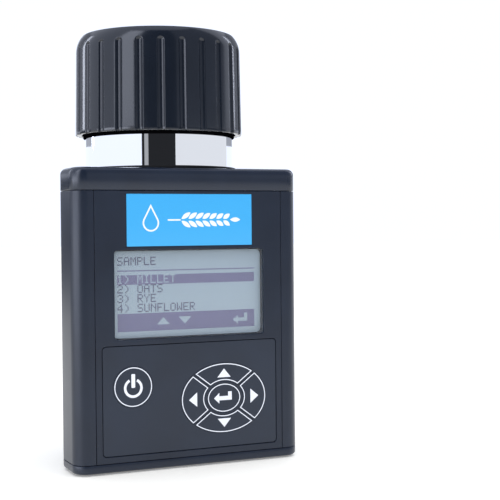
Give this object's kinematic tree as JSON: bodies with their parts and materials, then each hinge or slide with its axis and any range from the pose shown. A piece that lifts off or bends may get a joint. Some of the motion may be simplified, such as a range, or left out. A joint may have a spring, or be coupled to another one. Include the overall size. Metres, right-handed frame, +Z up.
{
  "type": "grain moisture meter",
  "caption": "Hand-held grain moisture meter: D-plan plastic case with display and keypad, steel measuring chamber on top and a fluted screw cap that presses the sample",
  "frame": {"origin": "centre of the bounding box's base, on the table, on the axis of the measuring chamber and cap", "axes": "+Z up along the chamber's axis, the display and keys face -Y, +X is to the right of someone looking at the display"},
  "size_m": [0.112, 0.084, 0.2058],
  "materials": {
    "case_plastic": "dark blue-grey moulded plastic, fine satin grain",
    "rubber": "black rubber",
    "plain_steel": "plain steel",
    "polished_steel": "turned stainless steel, mirror polished",
    "circuit_board": "green solder mask",
    "white_plastic": "white moulded plastic",
    "black_plastic": "black moulded plastic",
    "keypad_film": "dark printed film, fine matt texture",
    "name_plate": "sky blue printed label with a plain white seed mark",
    "clear_lens": "clear acrylic window",
    "display_glass": "pale blue-grey liquid crystal display",
    "brass": "turned brass",
    "flat_cable": "grey flat cable",
    "red_insulation": "red wire insulation",
    "cell_sleeve": "plain green cell sleeve",
    "red_plastic": "red moulded plastic"
  },
  "bodies": {
    "housing": {"main_housing": "case_plastic", "base_cover": "case_plastic", "rubber_feet": "rubber", "base_screws": "plain_steel", "top_cover": "case_plastic", "cover_screws": "plain_steel", "front_panel": "case_plastic", "name_plate": "name_plate", "keypad_film": "keypad_film", "display_lens": "clear_lens", "display_bezel": "black_plastic", "display_glass": "display_glass", "display_backlight": "white_plastic", "display_board": "circuit_board", "board_spacers": "brass", "main_board": "circuit_board", "board_screws": "plain_steel", "buzzer": "black_plastic", "keypad_board": "circuit_board", "key_domes": "plain_steel", "keypad_screws": "plain_steel", "ribbon_cable": "flat_cable", "neck_seal": "rubber", "measuring_chamber": "polished_steel", "chamber_bracket": "black_plastic", "bracket_screws": "plain_steel", "electrode_bush": "white_plastic", "center_electrode": "polished_steel", "electrode_nut": "plain_steel", "temperature_probe": "plain_steel", "sensor_board": "circuit_board", "sensor_lead": "black_plastic", "battery_tray": "black_plastic", "battery_cells": "cell_sleeve", "battery_contacts": "plain_steel", "battery_leads": "red_insulation"},
    "cap_carrier": {"thrust_washer": "white_plastic"},
    "cap": {"cap_shell": "case_plastic", "cap_insert": "black_plastic"},
    "plunger": {"pressure_plate": "plain_steel", "indicator_pin": "red_plastic", "retaining_clip": "plain_steel", "pressure_spring": "plain_steel"},
    "door": {"battery_door": "case_plastic"},
    "key_power": {"power_key": "case_plastic"},
    "key_up": {"up_key": "case_plastic"},
    "key_down": {"down_key": "case_plastic"},
    "key_left": {"left_key": "case_plastic"},
    "key_right": {"right_key": "case_plastic"},
    "key_enter": {"enter_key": "case_plastic"}
  },
  "joints": [
    {"name": "cap_lift", "type": "slide", "parent": "housing", "child": "cap_carrier", "axis": [0, 0, 1], "range_m": [0, 0.0361]},
    {"name": "cap_turn", "type": "hinge", "parent": "cap_carrier", "child": "cap", "pos_m": [0, 0, 0.1813], "axis": [0, 0, 1], "range_deg": [0, 2160]},
    {"name": "plate_press", "type": "slide", "parent": "cap_carrier", "child": "plunger", "axis": [0, 0, 1], "range_m": [0, 0.003], "stiffness_N_per_m": 2000, "springref_m": -0.004, "deforming": ["pressure_spring"]},
    {"name": "door_swing", "type": "hinge", "parent": "housing", "child": "door", "pos_m": [0, 0.0416, 0.0111], "axis": [-1, 0, 0], "range_deg": [0, 75]},
    {"name": "power_press", "type": "slide", "parent": "housing", "child": "key_power", "axis": [0, 1, 0], "range_m": [0, 0.0004], "stiffness_N_per_m": 2000, "springref_m": -0.0003},
    {"name": "up_press", "type": "slide", "parent": "housing", "child": "key_up", "axis": [0, 1, 0], "range_m": [0, 0.0004], "stiffness_N_per_m": 2000, "springref_m": -0.0003},
    {"name": "down_press", "type": "slide", "parent": "housing", "child": "key_down", "axis": [0, 1, 0], "range_m": [0, 0.0004], "stiffness_N_per_m": 2000, "springref_m": -0.0003},
    {"name": "left_press", "type": "slide", "parent": "housing", "child": "key_left", "axis": [0, 1, 0], "range_m": [0, 0.0004], "stiffness_N_per_m": 2000, "springref_m": -0.0003},
    {"name": "right_press", "type": "slide", "parent": "housing", "child": "key_right", "axis": [0, 1, 0], "range_m": [0, 0.0004], "stiffness_N_per_m": 2000, "springref_m": -0.0003},
    {"name": "enter_press", "type": "slide", "parent": "housing", "child": "key_enter", "axis": [0, 1, 0], "range_m": [0, 0.0004], "stiffness_N_per_m": 2000, "springref_m": -0.0003}
  ],
  "couplings": [
    {"joint": "cap_lift", "follows": "cap_turn", "m_per_rad": 0.00095493}
  ]
}
